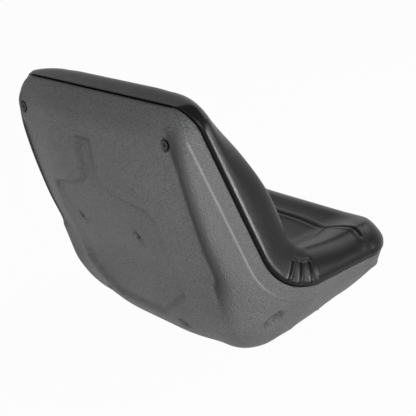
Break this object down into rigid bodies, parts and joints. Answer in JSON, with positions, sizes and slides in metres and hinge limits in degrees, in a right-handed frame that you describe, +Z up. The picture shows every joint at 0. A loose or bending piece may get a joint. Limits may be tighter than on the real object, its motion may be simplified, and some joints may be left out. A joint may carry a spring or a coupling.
{
  "type": "tractor seat",
  "caption": "One-piece bucket seat for a ride-on garden machine: a moulded plastic pan with mounting rails below and a padded vinyl cushion that covers seat and backrest.",
  "frame": {"origin": "on the mounting plane under the seat, in the middle of the four bolt holes", "axes": "+Z up, -Y towards the front edge of the seat, +Y towards the backrest, X across"},
  "size_m": [0.4848, 0.5332, 0.4687],
  "materials": {
    "shell": "fine moulded grain, semi-matt",
    "vinyl": "smooth black vinyl with a soft sheen",
    "board": "plain moulded board, hidden",
    "zinc_steel": "zinc plated",
    "brass": "plain turned brass"
  },
  "bodies": {
    "root": {"seat_shell": "shell", "cushion": "vinyl", "cushion_backing": "board", "cushion_screws": "zinc_steel", "mount_inserts": "brass"}
  },
  "joints": []
}
